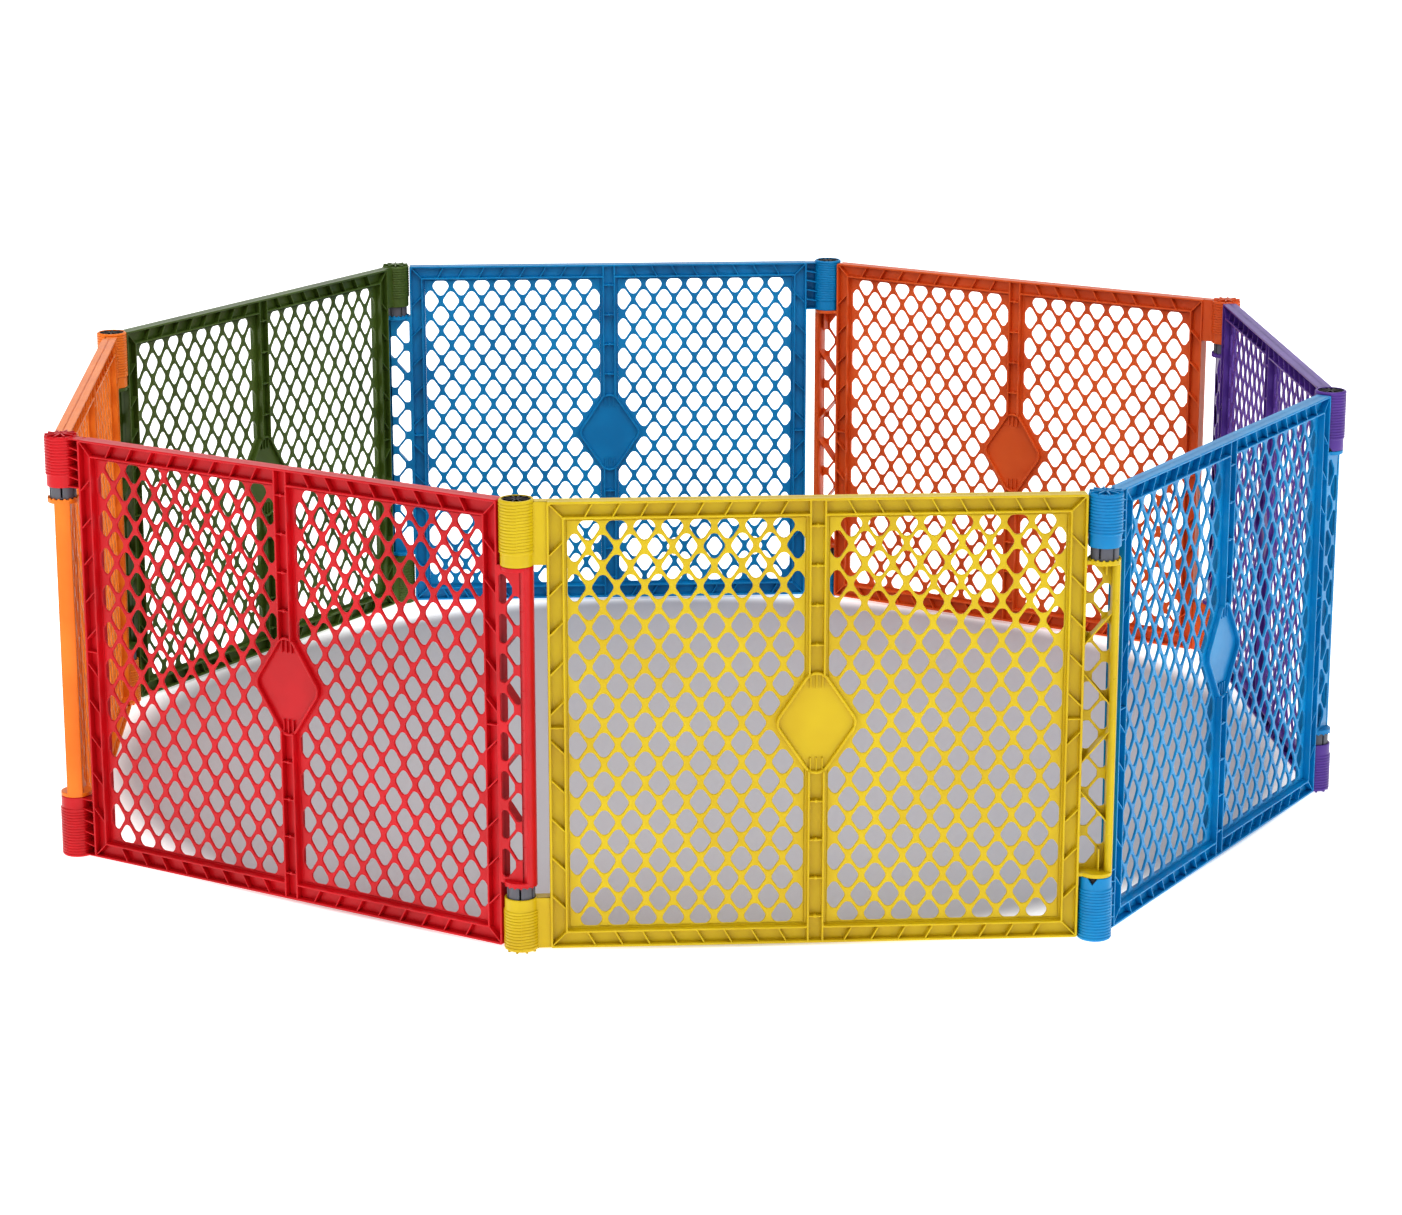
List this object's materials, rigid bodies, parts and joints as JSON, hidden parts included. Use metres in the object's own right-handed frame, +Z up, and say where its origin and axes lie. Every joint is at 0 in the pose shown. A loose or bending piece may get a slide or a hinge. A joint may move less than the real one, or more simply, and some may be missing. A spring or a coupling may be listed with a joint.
{
  "type": "playpen",
  "caption": "Folding play yard: a ring of moulded mesh panels in bright colours, hinged end to end on lift-and-turn pivots, with an open top and no floor.",
  "frame": {"origin": "on the floor at the middle of the ring", "axes": "+Z up, the yellow panel across the front with its outer face looking along -Y, +X towards the purple panel"},
  "size_m": [2.0168, 2.0168, 0.66],
  "materials": {
    "red_plastic": "injection-moulded polyethylene, satin gloss",
    "yellow_plastic": "injection-moulded polyethylene, satin gloss",
    "blue_plastic": "injection-moulded polyethylene, satin gloss",
    "purple_plastic": "injection-moulded polyethylene, satin gloss",
    "coral_plastic": "injection-moulded polyethylene, satin gloss",
    "green_plastic": "injection-moulded polyethylene, satin gloss",
    "orange_plastic": "injection-moulded polyethylene, satin gloss",
    "grey_plastic": "injection-moulded nylon, fine satin",
    "black_plastic": "injection-moulded nylon, fine satin"
  },
  "bodies": {
    "red_pivots": {"red_collar": "grey_plastic", "red_pin": "black_plastic"},
    "red_panel": {"red_frame": "red_plastic", "red_mesh": "red_plastic", "red_plaque": "red_plastic", "red_knuckles": "red_plastic", "red_strip": "red_plastic"},
    "yellow_pivots": {"yellow_collar": "grey_plastic", "yellow_pin": "black_plastic"},
    "yellow_panel": {"yellow_frame": "yellow_plastic", "yellow_mesh": "yellow_plastic", "yellow_plaque": "yellow_plastic", "yellow_knuckles": "yellow_plastic", "yellow_strip": "yellow_plastic"},
    "blue_front_pivots": {"blue_front_collar": "grey_plastic", "blue_front_pin": "black_plastic"},
    "blue_front_panel": {"blue_front_frame": "blue_plastic", "blue_front_mesh": "blue_plastic", "blue_front_plaque": "blue_plastic", "blue_front_knuckles": "blue_plastic", "blue_front_strip": "blue_plastic"},
    "purple_pivots": {"purple_collar": "grey_plastic", "purple_pin": "black_plastic"},
    "purple_panel": {"purple_frame": "purple_plastic", "purple_mesh": "purple_plastic", "purple_plaque": "purple_plastic", "purple_knuckles": "purple_plastic", "purple_strip": "purple_plastic"},
    "orange_back_pivots": {"orange_back_collar": "grey_plastic", "orange_back_pin": "black_plastic"},
    "orange_back_panel": {"orange_back_frame": "coral_plastic", "orange_back_mesh": "coral_plastic", "orange_back_plaque": "coral_plastic", "orange_back_knuckles": "coral_plastic", "orange_back_strip": "coral_plastic"},
    "blue_back_panel": {"blue_back_frame": "blue_plastic", "blue_back_mesh": "blue_plastic", "blue_back_plaque": "blue_plastic", "blue_back_knuckles": "blue_plastic", "blue_back_strip": "blue_plastic", "blue_back_collar": "grey_plastic", "blue_back_pin": "black_plastic"},
    "green_pivots": {"green_collar": "grey_plastic", "green_pin": "black_plastic"},
    "green_panel": {"green_frame": "green_plastic", "green_mesh": "green_plastic", "green_plaque": "green_plastic", "green_knuckles": "green_plastic", "green_strip": "green_plastic"},
    "orange_left_pivots": {"orange_left_collar": "grey_plastic", "orange_left_pin": "black_plastic"},
    "orange_left_panel": {"orange_left_frame": "orange_plastic", "orange_left_mesh": "orange_plastic", "orange_left_plaque": "orange_plastic", "orange_left_knuckles": "orange_plastic", "orange_left_strip": "orange_plastic"}
  },
  "joints": [
    {"name": "yellow_lift", "type": "slide", "parent": "blue_front_panel", "child": "yellow_pivots", "axis": [0, 0, 1], "range_m": [0, 0.0155]},
    {"name": "front_right_fold", "type": "hinge", "parent": "yellow_pivots", "child": "yellow_panel", "pos_m": [0.51193, -0.98341, 0], "axis": [0, 0, -1], "range_deg": [-55, 35]},
    {"name": "red_settle", "type": "slide", "parent": "yellow_panel", "child": "red_pivots", "axis": [0, 0, 1], "range_m": [-0.0155, 0]},
    {"name": "front_left_fold", "type": "hinge", "parent": "red_pivots", "child": "red_panel", "pos_m": [-0.31007, -0.98341, 0], "axis": [0, 0, -1], "range_deg": [-35, 55]},
    {"name": "orange_left_lift", "type": "slide", "parent": "red_panel", "child": "orange_left_pivots", "axis": [0, 0, 1], "range_m": [0, 0.0155]},
    {"name": "left_front_fold", "type": "hinge", "parent": "orange_left_pivots", "child": "orange_left_panel", "pos_m": [-0.98341, -0.51193, 0], "axis": [0, 0, -1], "range_deg": [-55, 35]},
    {"name": "green_settle", "type": "slide", "parent": "orange_left_panel", "child": "green_pivots", "axis": [0, 0, 1], "range_m": [-0.0155, 0]},
    {"name": "left_back_fold", "type": "hinge", "parent": "green_pivots", "child": "green_panel", "pos_m": [-0.98341, 0.31007, 0], "axis": [0, 0, -1], "range_deg": [-35, 55]},
    {"name": "right_front_fold", "type": "hinge", "parent": "blue_front_panel", "child": "blue_front_pivots", "pos_m": [0.98341, -0.31007, 0], "axis": [0, 0, 1], "range_deg": [-35, 55]},
    {"name": "purple_lift", "type": "slide", "parent": "blue_front_pivots", "child": "purple_panel", "axis": [0, 0, 1], "range_m": [0, 0.0155]},
    {"name": "right_back_fold", "type": "hinge", "parent": "purple_panel", "child": "purple_pivots", "pos_m": [0.98341, 0.51193, 0], "axis": [0, 0, 1], "range_deg": [-55, 35]},
    {"name": "orange_back_settle", "type": "slide", "parent": "purple_pivots", "child": "orange_back_panel", "axis": [0, 0, 1], "range_m": [-0.0155, 0]},
    {"name": "back_right_fold", "type": "hinge", "parent": "orange_back_panel", "child": "orange_back_pivots", "pos_m": [0.31007, 0.98341, 0], "axis": [0, 0, 1], "range_deg": [-35, 55]},
    {"name": "blue_back_lift", "type": "slide", "parent": "orange_back_pivots", "child": "blue_back_panel", "axis": [0, 0, 1], "range_m": [0, 0.0155]}
  ],
  "couplings": [
    {"joint": "right_front_fold", "follows": "front_right_fold", "ratio": -1},
    {"joint": "left_back_fold", "follows": "front_right_fold", "ratio": -1},
    {"joint": "back_right_fold", "follows": "right_back_fold", "ratio": -1},
    {"joint": "left_front_fold", "follows": "right_back_fold", "ratio": 1},
    {"joint": "front_left_fold", "follows": "right_back_fold", "ratio": -1},
    {"joint": "red_settle", "follows": "yellow_lift", "ratio": -1},
    {"joint": "green_settle", "follows": "orange_left_lift", "ratio": -1},
    {"joint": "orange_back_settle", "follows": "purple_lift", "ratio": -1}
  ]
}
